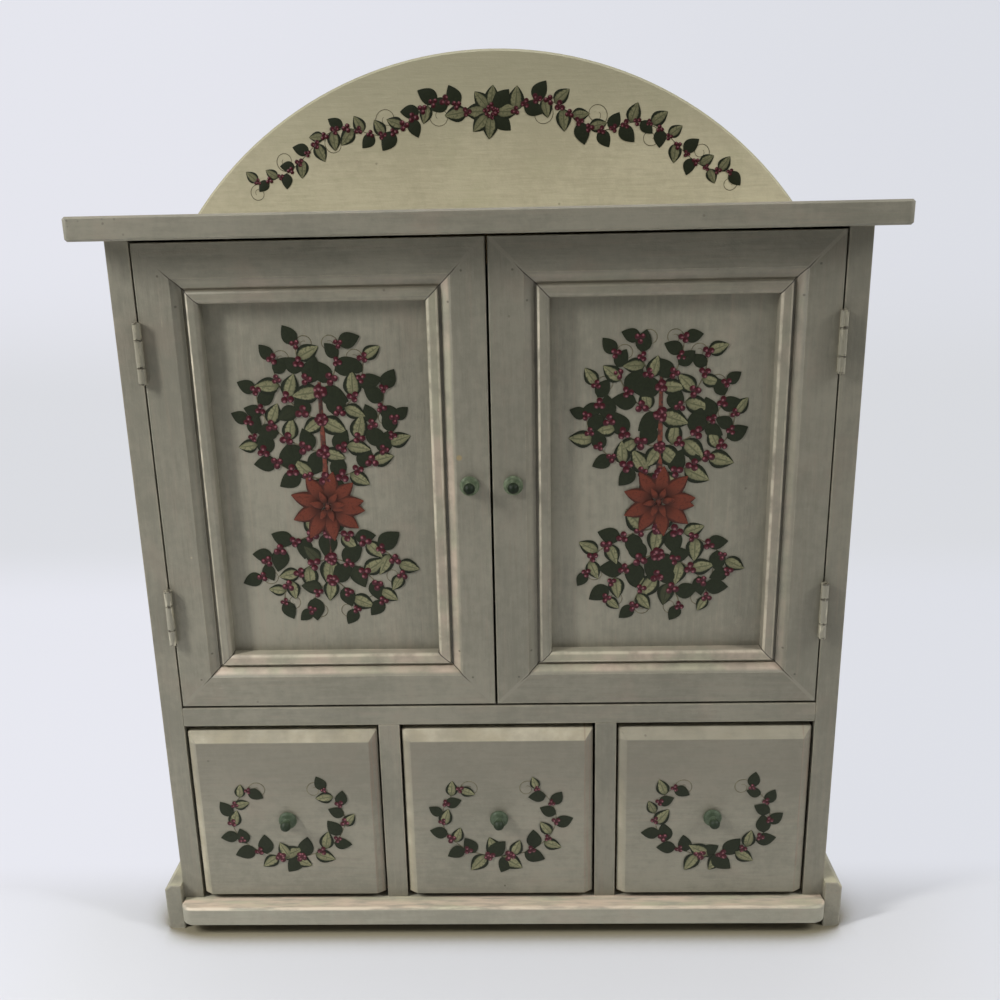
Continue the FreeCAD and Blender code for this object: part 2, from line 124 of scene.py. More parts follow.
def add(tree, kind, inputs=None, **settings):
    """The outputs of a new node with these settings and inputs."""
    made = tree.nodes.new(kind)
    for key, value in settings.items():
        setattr(made, key, value)
    fill(made, inputs or {})
    return Outputs(made)


def tree_of(values):
    return next(value.tree for value in values if isinstance(value, Value))


def joined(operation, *values, kind="ShaderNodeMath"):
    """Numbers or vectors joined by an operation of a math node."""
    return add(tree_of(values), kind, dict(enumerate(values)), operation=operation)["Value"]


def largest(first, second):
    return joined("MAXIMUM", first, second)


def mix(share, first, second, blend="MIX"):
    """A colour between two others."""
    inputs = {0: share, 6: first, 7: second}
    return add(tree_of(inputs.values()), "ShaderNodeMix", inputs, data_type="RGBA", blend_type=blend)[2]


def between(value, low, high):
    """0 below low, 1 above high and a soft step in between."""
    step = {"Value": value, "From Min": low, "From Max": high}
    return add(value.tree, "ShaderNodeMapRange", step, interpolation_type="SMOOTHSTEP")["Result"]


def spread(value, low, high):
    """A value from 0 to 1 spread out between two others."""
    return add(value.tree, "ShaderNodeMapRange", {"Value": value, "To Min": low, "To Max": high})["Result"]


def near(value, centre, reach):
    """1 where a value lies within reach of a centre, with a soft border."""
    return between(abs(value - centre), reach * 1.3, reach * 0.7)


def height(place, axis=Z):
    return add(place.tree, "ShaderNodeSeparateXYZ", {"Vector": place})[axis]


def noise(place, scale, detail=3.0, roughness=0.55):
    inputs = {"Vector": place, "Scale": scale, "Detail": detail, "Roughness": roughness}
    return add(place.tree, "ShaderNodeTexNoise", inputs)["Fac"]


def grained(place, grain, across, along, detail=3.0, roughness=0.55):
    """A noise drawn out along the grain of a board."""
    stretch = [across, across, across]
    stretch[grain] = along
    drawn_out = add(place.tree, "ShaderNodeMapping", {"Vector": place, "Scale": stretch})["Vector"]
    return noise(drawn_out, 1.0, detail, roughness)


def direction(place):
    """The way that the surface faces."""
    return add(place.tree, "ShaderNodeNewGeometry")["Normal"]


def softened(place, radius):
    """The way that the surface would face if its arrises were rounded off."""
    return add(place.tree, "ShaderNodeBevel", {"Radius": radius}, samples=6)["Normal"]


def edge_wear(place, reach):
    """1 along the arrises of a board, broken up as rubbing leaves them."""
    facing = joined("DOT_PRODUCT", softened(place, reach), direction(place), kind="ShaderNodeVectorMath")
    broken = between(noise(place, 130.0, 4.0), 0.36, 0.6)
    return between(1.0 - facing, 0.02, 0.2) * broken


def flecks(place, scale, share, size):
    """Small round spots on a share of the surface's cells, such as dents and chips."""
    cells = add(place.tree, "ShaderNodeTexVoronoi", {"Vector": place, "Scale": scale})
    pick = add(place.tree, "ShaderNodeSeparateColor", {"Color": cells["Color"]})["Red"]
    return between(cells["Distance"], size * 1.3, size * 0.7) * (pick < share)


def bumped(relief, strength, distance):
    """The surface's direction once it has this relief."""
    inputs = {"Height": relief, "Strength": strength, "Distance": distance}
    return add(relief.tree, "ShaderNodeBump", inputs)["Normal"]


def new_finish(name):
    """An empty material with its main shader and the place on the object that its marks go by."""
    material = bpy.data.materials.new(name)
    material.use_nodes = True
    tree = material.node_tree
    return material, tree.nodes["Principled BSDF"], add(tree, "ShaderNodeTexCoord")["Object"]


def body_tones(share=1.0):
    """The three tones of the body paint, all made deeper by a share under 1 as painted shade, or lighter
    by one over 1 as painted light.
    """
    tones = (PAINT_DARK, PAINT_LIGHT, PAINT_WARM)
    return [tuple(channel * share for channel in tone[:3]) + (1.0,) for tone in tones]


def brushed_paint(name, grain, tones=body_tones(), wear=0.3, marks=None):
    """Old paint laid on with a brush along the grain, over a pale ground, with a piece's own marks."""
    material, shader, place = new_finish(name)
    streaks = grained(place, grain, STREAKS_ACROSS, STREAKS_ALONG, 4.0, 0.6)
    fine = grained(place, grain, 1500.0, 90.0, 2.0)
    thin = grained(place, grain, 900.0, 22.0)
    mottle = noise(place, 240.0, 5.0, 0.65)
    clouds = noise(place, 17.0, 3.0)
    patches = noise(place, 37.0, 4.0)
    stroked = mottle + streaks * 0.8
    colour = mix(between(stroked + clouds * 1.4, 1.28, 1.92), tones[0], tones[1])
    colour = mix(between(thin, 0.56, 0.7) * 0.3, colour, tones[2])
    colour = mix(between(patches, 0.53, 0.7) * 0.3, colour, tones[2])
    rubbed = between(streaks, 0.68, 0.8) * between(patches, 0.5, 0.7)
    colour = mix(largest(rubbed * 0.3, edge_wear(place, WORN_EDGE) * wear), colour, PALE_GROUND_AND_LIGHT)
    if marks:
        colour = marks(place, colour)
    for scale, share, size, strength, speck in SPECKS:
        colour = mix(flecks(place, scale, share, size) * strength, colour, speck)
    relief = bumped(stroked + fine * 0.25, 0.42, 0.0004)
    fill(shader, {"Base Color": colour, "Roughness": spread(fine, 0.46, 0.66), "Normal": relief})
    return material


def finish_node(name, material, ease=0.0):
    """Gives a CAD piece its finish, and eases its arrises as sanding does."""
    piece = nodes[name]
    for holder in piece.material_slots:
        holder.material = material
    if ease:
        weld = piece.modifiers.new("weld", "WELD")
        weld.merge_threshold = 1e-6
        bevel = piece.modifiers.new("ease", "BEVEL")
        bevel.width = ease
        bevel.segments = 2
        bevel.limit_method = "ANGLE"
        bevel.angle_limit = math.radians(40)


BOARD_EASE = 0.00035
SIDE_EASE = 0.00015
WORN_PINK = srgb(184, 165, 146)
WORN_GREEN = srgb(162, 158, 134)
# Pale wear, also laid on as painted highlight along the door beads.
PALE_WEAR_AND_HIGHLIGHT = srgb(200, 190, 168)
WORN_YELLOW = srgb(170, 165, 138)
FOOT_CHAMFER = 0.0026
STEP_START = 0.0011
STEP_FULL = 0.0004
ARRIS_PLACE = 0.0006
ARRIS_REACH = 0.0009
carcass_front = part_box("side_left")[0].y
base_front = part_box("bottom_board")[0].y
base_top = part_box("bottom_board")[1].z


def rubbed_base(place, colour):
    """The step of the base in front of the drawers is rubbed, pink in places and greenish in others."""
    top = between(height(place), base_top - STEP_START, base_top - STEP_FULL)
    step = top * between(height(place, Y), carcass_front + 0.001, carcass_front)
    arris = top * near(height(place, Y), base_front + ARRIS_PLACE, ARRIS_REACH)
    uneven = grained(place, X, 480.0, 70.0, 5.0)
    parts = between(grained(place, X, 190.0, 26.0, 4.0), 0.44, 0.64)
    worn = mix(parts, WORN_PINK, WORN_GREEN)
    colour = mix(step * (between(uneven, 0.24, 0.6) * 0.8), colour, worn)
    return mix(arris * (between(uneven, 0.42, 0.62) * 0.5), colour, PALE_WEAR_AND_HIGHLIGHT)


def rubbed_feet(place, colour):
    """The sloping tops of the foot strips are rubbed to a yellowish cream."""
    low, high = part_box("foot_strip_left")
    slope_foot = high.z - FOOT_CHAMFER
    slope = between(height(place), slope_foot - 0.0003, slope_foot)
    slope = slope * between(height(place, Y), low.y + 0.0002, low.y + 0.0009)
    uneven = between(noise(place, 90.0, 5.0), 0.25, 0.75)
    return mix(slope * (uneven * 0.75), colour, WORN_YELLOW)


# Painted shade: the sides, the dividers and the shelf in a deeper shade of the paint, the right side
# deepest.
SIDE_PAINTED_SHADES = {"left": 0.94, "right": 0.86}
LOW_TONES = (srgb(130, 127, 113), srgb(141, 138, 123), srgb(148, 136, 122))
finish_node("bottom_board", brushed_paint("base paint", X, LOW_TONES, marks=rubbed_base), BOARD_EASE)
finish_node("mid_shelf", brushed_paint("shelf paint", X, body_tones(0.94)), BOARD_EASE)
foot_paint = brushed_paint("foot paint", Y, marks=rubbed_feet)
for side, share in SIDE_PAINTED_SHADES.items():
    finish_node(f"foot_strip_{side}", foot_paint, BOARD_EASE)
    upright_paint = brushed_paint(f"{side} side paint", Z, body_tones(share))
    finish_node(f"side_{side}", upright_paint, SIDE_EASE)
    finish_node(f"drawer_divider_{side}", upright_paint, SIDE_EASE)


# The back: a thin sheet of plywood let into the sides and held by wire brads.
# It was left bare, with the plain straight figure of its face veneer.
PLY_DARK = srgb(178, 147, 106)
PLY_LIGHT = srgb(205, 178, 138)


def bare_wood(name, grain, dark=PLY_DARK, light=PLY_LIGHT):
    """Unpainted wood with soft growth rings that run with the grain, and fine pores."""
    material, shader, place = new_finish(name)
    wide = grained(place, grain, 60.0, 2.2, 2.0)
    rings = grained(place, grain, 320.0, 5.0)
    pores = grained(place, grain, 2400.0, 90.0, 2.0)
    colour = mix(between(wide * 0.8 + rings, 0.65, 1.15), dark, light)
    colour = mix(between(pores, 0.56, 0.7) * 0.3, colour, dark, "MULTIPLY")
    fill(shader, {"Base Color": colour, "Roughness": 0.72, "Normal": bumped(pores, 0.2, 0.0003)})
    return material


def metal(name, colour, roughness, tarnish, dulling=0.35):
    """Thin plated or lacquered metal, with cloudy tarnish and fine scratches."""
    material, shader, place = new_finish(name)
    dull = between(noise(place, 420.0, 4.0), 0.42, 0.68) * dulling
    scratches = noise(place, 2600.0, 2.0)
    fill(shader, {
        "Base Color": mix(dull, colour, tarnish),
        "Metallic": 1.0,
        "Roughness": spread(scratches, roughness * 0.75, roughness * 1.3),
        "Normal": bumped(scratches, 0.1, 0.0001),
    })
    return material


plain_steel = metal("bright steel", srgb(168, 166, 160), 0.34, srgb(120, 112, 100))
finish_node("back_panel", bare_wood("birch plywood", Z))
finish_node("back_panel_nails", plain_steel)


# The top: one board that overhangs the sides and the front, with eased edges,
# brushed along its length and glued down on the sides. Its left end is pitted.
PITS_START = 0.045
PITS_FULL = 0.012


def pitted_end(place, colour):
    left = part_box("top_board")[0].x
    close = between(height(place, X), left + PITS_START, left + PITS_FULL)
    pits_and_shade = flecks(place, 420.0, 0.3, 0.2) * close
    return mix(pits_and_shade * 0.45, colour, GRIME_AND_SHADE)


finish_node("top_board", brushed_paint("top paint", X, marks=pitted_end), BOARD_EASE)


# The crest: an arched board standing in a housing at the back of the top, brushed along its
# length in cream over the same ground. A vine of leaves and berries is painted on it, one
# branch to each side, in thick decorator's paint.
CREAM_DARK = srgb(180, 172, 144)
CREAM_LIGHT = srgb(194, 186, 157)
CREAM_OLIVE = srgb(173, 170, 137)
CREAM_HIGH_SHADE = srgb(163, 158, 132)
ARCH_EDGE_SHADE = srgb(132, 130, 102)
CREAM_LEFT_TONE = (0.92, 0.92, 0.92, 1.0)
CREAM_RIGHT_TONE = (1.1, 1.1, 1.1, 1.0)
CREAM_TONE_TURN = 0.14
HIGH_SHADE_START = 0.060
HIGH_SHADE_FULL = 0.004


def shaded_crest_marks(place, colour):
    """The cream is darker at the left and lighter at the right, with painted shade, dull and greenish,
    high up and on the arch's thin edges.
    """
    left_to_right = mix(between(height(place, X), -CREAM_TONE_TURN, CREAM_TONE_TURN), CREAM_LEFT_TONE, CREAM_RIGHT_TONE)
    colour = mix(1.0, colour, left_to_right, "MULTIPLY")
    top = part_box("crest_board")[1].z
    # Painted shade towards the top of the crest and on its thin edges.
    dull = between(height(place), top - HIGH_SHADE_START, top - HIGH_SHADE_FULL)
    colour = mix(dull * 0.75, colour, CREAM_HIGH_SHADE)
    facing = abs(height(direction(place), Y))
    return mix(between(facing, 0.9, 0.5) * 0.85, colour, ARCH_EDGE_SHADE)


cream_tones = (CREAM_DARK, CREAM_LIGHT, CREAM_OLIVE)
finish_node("crest_board", brushed_paint("cream paint", X, cream_tones, 0.08, shaded_crest_marks), BOARD_EASE)

LEAF_DARK = srgb(20, 25, 12)
LEAF_MID = srgb(42, 48, 27)
LEAF_PALE = srgb(122, 120, 90)
BERRY = srgb(62, 18, 25)
BERRY_SHINE = srgb(146, 92, 99)
TENDRIL = srgb(74, 69, 47)
TENDRIL_DRY = srgb(104, 98, 73)
SHINE_PLACE = (0.34, 0.66, 0.0)
STROKE_LIFT = 0.00004


def mapped(place):
    return add(place.tree, "ShaderNodeUVMap")["UV"]


def place_on_shape(place):
    """Where a point lies on a painted shape: from -1 to 1 across it and from 0 to 1 along it."""
    where = add(place.tree, "ShaderNodeSeparateXYZ", {"Vector": mapped(place)})
    return where["X"] * 2.0 - 1.0, where["Y"]


def leaf_paint():
    """Leaves of two kinds: solid dark ones, and pale ones with a dark outline and vein."""
    material, shader, place = new_finish("leaf paint")
    across, along = place_on_shape(place)
    off_vein = abs(across)
    strokes = noise(place, 900.0, 3.0)
    outline = between(off_vein + strokes * 0.3, 0.66, 0.86)
    shaded_half = between(across, -0.1, 0.9) * 0.55
    vein = between(off_vein, 0.16, 0.03) * 0.6
    foot = between(along, 0.4, 0.0) * 0.75
    shade = largest(largest(outline, shaded_half), largest(vein, foot))
    dabs = between(strokes, 0.46, 0.62) * 0.5
    pale = mix(largest(shade, dabs), LEAF_PALE, LEAF_MID)
    pale = mix(outline * 0.8, pale, LEAF_DARK)
    dark = mix(strokes * 0.8, LEAF_DARK, LEAF_MID)
    tone = add(place.tree, "ShaderNodeAttribute", attribute_name="tone")["Fac"]
    fill(shader, {
        "Base Color": mix(between(tone, 0.52, 0.56), dark, pale),
        "Roughness": 0.55,
        "Specular IOR Level": 0.25,
        "Normal": bumped(strokes, 0.25, 0.0002),
    })
    return material


def dabbed_paint(name, body, shine, roughness=0.36):
    """Round dabs of paint with a paler touch on their upper left."""
    material, shader, place = new_finish(name)
    touch = joined("DISTANCE", mapped(place), SHINE_PLACE, kind="ShaderNodeVectorMath")
    spot = between(touch + noise(place, 1400.0, 2.0) * 0.3, 0.42, 0.2)
    colour = mix(spot * 0.75, body, shine)
    fill(shader, {"Base Color": colour, "Roughness": roughness, "Specular IOR Level": 0.3})
    return material


def line_paint(name, colour, second, scale=500.0):
    """A thin line or stroke of paint that runs dry in places."""
    material, shader, place = new_finish(name)
    dry = between(noise(place, scale, 4.0), 0.35, 0.65)
    fill(shader, {"Base Color": mix(dry, colour, second), "Roughness": 0.5})
    return material


def placed(name, data):
    """A new object of the scene, at the origin."""
    made = bpy.data.objects.new(name, data)
    bpy.context.scene.collection.objects.link(made)
    return made


def mesh_object(name, vertices, faces, uvs=None):
    """A mesh object, with a UV for each vertex where it needs one."""
    mesh = bpy.data.meshes.new(name)
    mesh.from_pydata(vertices, [], faces)
    if uvs:
        layer = mesh.uv_layers.new(name="UVMap")
        for loop in mesh.loops:
            layer.data[loop.index].uv = uvs[loop.vertex_index]
    mesh.validate()
    return placed(name, mesh)


def leaf_shape(name, half_width, belly, crown, rows=9, columns=4):
    """A domed leaf of length 1 that points up, its foot at the origin and its back open."""
    vertices, uvs, faces = [], [], []
    for i in range(rows + 1):
        v = i / rows
        reach = half_width * math.sin(math.pi * v ** belly) ** 0.85 if 0 < i < rows else 0.012
        for j in range(columns + 1):
            u = 2 * j / columns - 1
            dome = crown * (1 - u * u) * math.sin(math.pi * min(v, 0.999))
            vertices.append((u * reach, -dome, v))
            uvs.append(((u + 1) / 2, v))
    for i in range(rows):
        for j in range(columns):
            a = i * (columns + 1) + j
            faces.append((a, a + 1, a + columns + 2, a + columns + 1))
    return mesh_object(name, vertices, faces, uvs)


def berry_shape(name, places, radius, crown, sides=10, rings=3):
    """A small cluster of flat dabs, each a low dome with its own UV disc."""
    vertices, uvs, faces = [], [], []
    for across, up in places:
        start = len(vertices)
        vertices.append((across, -crown, up))
        uvs.append((0.5, 0.5))
        for ring_number in range(1, rings + 1):
            share = ring_number / rings
            for i in range(sides):
                angle = 2 * math.pi * i / sides
                dx, dz = math.cos(angle) * share, math.sin(angle) * share
                vertices.append((across + radius * dx, -crown * (1 - share * share), up + radius * dz))
                uvs.append((0.5 + dx / 2, 0.5 + dz / 2))
        for i in range(sides):
            after = (i + 1) % sides
            faces.append((start, start + 1 + i, start + 1 + after))
            for ring_number in range(rings - 1):
                inner = start + 1 + ring_number * sides
                outer = inner + sides
                faces.append((inner + i, outer + i, outer + after, inner + after))
    return mesh_object(name, vertices, faces, uvs)


def vine_tree():
    """Geometry Nodes: one painted shape after another along a set of vines, by turns to each side."""
    tree = bpy.data.node_groups.new("shapes along a vine", "GeometryNodeTree")
    face = tree.interface
    face.new_socket("Geometry", in_out="OUTPUT", socket_type="NodeSocketGeometry")
    face.new_socket("Geometry", in_out="INPUT", socket_type="NodeSocketGeometry")
    for label, kind in (("Vines", "Object"), ("Shape", "Object"), ("Paint", "Material")):
        face.new_socket(label, in_out="INPUT", socket_type="NodeSocket" + kind)
    for label in ("Spacing", "Swing", "Turn", "Jitter", "Smallest", "Largest", "Lift"):
        face.new_socket(label, in_out="INPUT", socket_type="NodeSocketFloat")
    face.new_socket("Seed", in_out="INPUT", socket_type="NodeSocketInt")
    given = add(tree, "NodeGroupInput")

    def chance(low, high, shift):
        inputs = {2: low, 3: high, 8: given["Seed"] + shift}
        return add(tree, "FunctionNodeRandomValue", inputs, data_type="FLOAT")[1]

    vines = add(tree, "GeometryNodeObjectInfo", {"Object": given["Vines"]})["Geometry"]
    inputs = {"Curve": vines, "Length": given["Spacing"]}
    points = add(tree, "GeometryNodeCurveToPoints", inputs, mode="LENGTH")
    way = add(tree, "ShaderNodeSeparateXYZ", {"Vector": points["Tangent"]})
    heading = joined("ARCTAN2", way["X"], way["Z"])
    number = add(tree, "GeometryNodeInputIndex")["Index"]
    side = joined("MODULO", number, 2.0) * 2.0 - 1.0
    stray = chance(given["Jitter"] * -1.0, given["Jitter"], 1)
    angle = heading + side * given["Swing"] + given["Turn"] + stray
    turn = add(tree, "ShaderNodeCombineXYZ", {"Y": angle})["Vector"]
    offset = add(tree, "ShaderNodeCombineXYZ", {"Y": chance(0.0, given["Lift"], 2) * -1.0})["Vector"]
    inputs = {"Geometry": points["Points"], "Offset": offset}
    lifted = add(tree, "GeometryNodeSetPosition", inputs)["Geometry"]
    shape = add(tree, "GeometryNodeObjectInfo", {"Object": given["Shape"]})["Geometry"]
    taper = add(tree, "GeometryNodeInputRadius")["Radius"]
    size = chance(given["Smallest"], given["Largest"], 3) * taper
    inputs = {"Points": lifted, "Instance": shape, "Rotation": turn, "Scale": size}
    standing = add(tree, "GeometryNodeInstanceOnPoints", inputs)["Instances"]
    inputs = {"Geometry": standing, "Name": "tone", "Value": chance(0.0, 1.0, 4)}
    toned = add(tree, "GeometryNodeStoreNamedAttribute", inputs, data_type="FLOAT", domain="INSTANCE")
    real = add(tree, "GeometryNodeRealizeInstances", {"Geometry": toned["Geometry"]})
    inputs = {"Geometry": real["Geometry"], "Material": given["Paint"]}
    painted = add(tree, "GeometryNodeSetMaterial", inputs)["Geometry"]
    add(tree, "NodeGroupOutput", {"Geometry": painted})
    return tree


def vine_curves(name, strokes, y):
    """Curves in the plane at y, each stroke a list of (x, z, share of full size)."""
    data = bpy.data.curves.new(name, "CURVE")
    data.dimensions = "3D"
    for stroke in strokes:
        spline = data.splines.new("POLY")
        spline.points.add(len(stroke) - 1)
        for point, (x, z, share) in zip(spline.points, stroke):
            point.co = (x, y, z, 1.0)
            point.radius = share
    return placed(name, data)


def along_vines(
    name, strokes, y, shape, paint, seed, spacing, swing, jitter, sizes, lift=0.0002, turn=0.0
):
    """The painted shapes of one node tree run, as a plain mesh."""
    vines = vine_curves(name + "_vines", strokes, y)
    made = mesh_object(name, [], [])
    modifier = made.modifiers.new("vine", "NODES")
    modifier.node_group = vine_nodes
    values = {
        "Vines": vines, "Shape": shape, "Paint": paint, "Seed": seed,
        "Spacing": spacing, "Swing": swing, "Turn": turn, "Jitter": jitter,
        "Smallest": sizes[0], "Largest": sizes[1], "Lift": lift,
    }
    for item in vine_nodes.interface.items_tree:
        if item.in_out == "INPUT" and item.name in values:
            modifier[item.identifier] = values[item.name]
    graph = bpy.context.evaluated_depsgraph_get()
    made.data = bpy.data.meshes.new_from_object(made.evaluated_get(graph))
    made.modifiers.clear()
    made.data.materials.clear()
    made.data.materials.append(paint)
    bpy.data.objects.remove(vines)
    return made


def painted_lines(name, strokes, y, width, paint):
    """Thin lines of paint along strokes, as flat as the brush leaves them."""
    vines = vine_curves(name + "_vines", strokes, 0.0)
    vines.data.bevel_depth = width / 2
    vines.data.bevel_resolution = 2
    graph = bpy.context.evaluated_depsgraph_get()
    mesh = bpy.data.meshes.new_from_object(vines.evaluated_get(graph))
    bpy.data.objects.remove(vines)
    mesh.transform(Matrix.Translation((0, y, 0)) @ Matrix.Diagonal((1, 0.3, 1, 1)))
    mesh.materials.clear()
    mesh.materials.append(paint)
    return placed(name, mesh)


CURL_SHRINK = 0.72
CURL_THINNING = 0.45


def curl(x, z, radius, start, turns, handed, steps=26):
    """A tendril that starts at (x, z) and winds inwards, handed 1 or -1."""
    centre_x = x - radius * math.cos(start)
    centre_z = z - radius * math.sin(start)
    stroke = []
    for i in range(steps + 1):
        t = i / steps
        angle = start + handed * 2 * math.pi * turns * t
        reach = radius * (1 - CURL_SHRINK * t)
        share = 1 - CURL_THINNING * t
        stroke.append((centre_x + reach * math.cos(angle), centre_z + reach * math.sin(angle), share))
    return stroke


def set_pieces(pieces, body):
    """Pieces of the object ride on their body."""
    for piece in pieces:
        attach(piece, body)


OUTWARDS = -math.pi / 2
STEM_WIDTH = 0.0005
CURL_WIDTH = 0.0004
BERRY_PLACES = ((0.0, 0.17), (-0.17, -0.09), (0.17, -0.1))
vine_nodes = vine_tree()
leaf_finish = leaf_paint()
berry_finish = dabbed_paint("berry paint", BERRY, BERRY_SHINE)
tendril_finish = line_paint("tendril paint", TENDRIL, TENDRIL_DRY)
leaf = leaf_shape("leaf", 0.36, 0.78, 0.016)
berries = berry_shape("berries", BERRY_PLACES, 0.17, 0.03)

SCROLL_START = 0.012
SCROLL_REACH = 0.107
SCROLL_WAVE = 0.0062
SCROLL_DROP = 0.031
SCROLL_STEPS = 72
# Each curl's place along its branch, its radius, and 1 above it or -1 below it.
CREST_CURLS = (
    (0.13, 0.0062, -1), (0.37, 0.0062, 1), (0.62, 0.0055, -1), (0.86, 0.005, 1), (1.0, 0.0045, -1),
)
crest_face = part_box("crest_board")[0].y
top_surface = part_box("top_board")[1].z
crest_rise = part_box("crest_board")[1].z - top_surface
scroll_top = top_surface + 0.62 * crest_rise


def crest_branch(side):
    """One branch of the crest's scroll, which winds up and down as it runs outwards."""
    stroke = []
    for i in range(SCROLL_STEPS + 1):
        t = i / SCROLL_STEPS
        wave = SCROLL_WAVE * math.sin(4 * math.pi * t) * (1 - 0.35 * t)
        z = scroll_top - SCROLL_DROP * t * t + wave
        stroke.append((side * (SCROLL_START + SCROLL_REACH * t), z, 1 - 0.3 * t))
    return stroke


def ring(cx, cz, radius, steps=24):
    """A closed round of points for shapes to stand on, all of them pointing outwards."""
    angles = [2 * math.pi * i / steps for i in range(steps + 1)]
    return [(cx + radius * math.cos(a), cz - radius * math.sin(a), 1.0) for a in angles]


crest_vines = [crest_branch(side) for side in (-1, 1)]
crest_curls = []
for side in (-1, 1):
    for share, radius, up in CREST_CURLS:
        x, z, _ = crest_vines[0][round(share * SCROLL_STEPS)]
        start = math.pi / 2 * -up
        crest_curls.append(curl(abs(x) * side, z + 0.001 * up, radius, start, 1.35, side * up))
crest_ring = [ring(0.0, scroll_top, 0.0022)]
face_y = crest_face - STROKE_LIFT
crest_decor = [
    painted_lines("crest_stem", crest_vines, face_y, STEM_WIDTH, tendril_finish),
    painted_lines("crest_tendrils", crest_curls, face_y, CURL_WIDTH, tendril_finish),
    along_vines(
        "crest_leaves", crest_vines, face_y, leaf, leaf_finish, 3,
        spacing=0.0052, swing=0.95, jitter=0.45, sizes=(0.0092, 0.0122), lift=0.00016,
    ),
    along_vines(
        "crest_middle_leaves", crest_ring, face_y, leaf, leaf_finish, 7,
        spacing=0.0017, swing=0.0, jitter=0.12, sizes=(0.0095, 0.0115), lift=0.00016, turn=OUTWARDS,
    ),
    along_vines(
        "crest_middle_berries", crest_ring, face_y - 0.0002, berries, berry_finish, 8,
        spacing=0.0034, swing=0.0, jitter=0.5, sizes=(0.0052, 0.0064), lift=0.0001, turn=OUTWARDS,
    ),
    along_vines(
        "crest_berries", crest_vines, face_y - 0.00016, berries, berry_finish, 5,
        spacing=0.0058, swing=2.2, jitter=1.2, sizes=(0.0066, 0.0088), lift=0.0001,
    ),
]
set_pieces(crest_decor, "cabinet")


# The inside of the compartment: a bare strip under the top with five brass cup hooks for
# necklaces, and a small block with two magnets that the doors close against.
hook_wood = bare_wood("bare softwood across", X, srgb(186, 156, 112), srgb(212, 186, 143))
brass = metal("lacquered brass", srgb(206, 160, 84), 0.24, srgb(136, 98, 48), 0.4)
finish_node("hook_rail", hook_wood, BOARD_EASE)
finish_node("door_stop_block", hook_wood, BOARD_EASE)
finish_node("necklace_hooks", brass)
finish_node("door_magnets", metal("nickel magnet", srgb(176, 172, 164), 0.2, srgb(128, 124, 118)))


# The doors: four mitred lengths of one moulding round a thin panel. The moulding has a flat, a cove,
# a quirk and a bead; its paint is rubbed along the cove and the bead, with painted highlight there on the
# faces turned to the lamps, and the quirk has painted shade in the stiles and painted light in the rails.
DOOR_EASE = 0.00015
COVE_MIDDLE = 0.0160
QUIRK_MIDDLE = 0.0188
BEAD_OUTSIDE = 0.0201
BEAD_MIDDLE = 0.0221
BEAD_INSIDE = 0.0239
MITRE_REACH = 0.0011
CRACK_REACH = 0.00032
CRACK_START = 0.0095
CRACK_FULL = 0.0135
PIN_REACH = 0.0005
PIN_PLACES = ((0.0098, 0.0132), (0.0155, 0.0255))
PAINT_FILL = srgb(122, 118, 104)
STAIN = srgb(150, 128, 78)
STAIN_REACH = 0.0012
door_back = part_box("door_left_stile_hinge")[1].y


def either(pick, there, elsewhere):
    """One value where pick is 1 and another where it is 0."""
    return add(pick.tree, "ShaderNodeMix", {0: pick, 2: elsewhere, 3: there})[0]


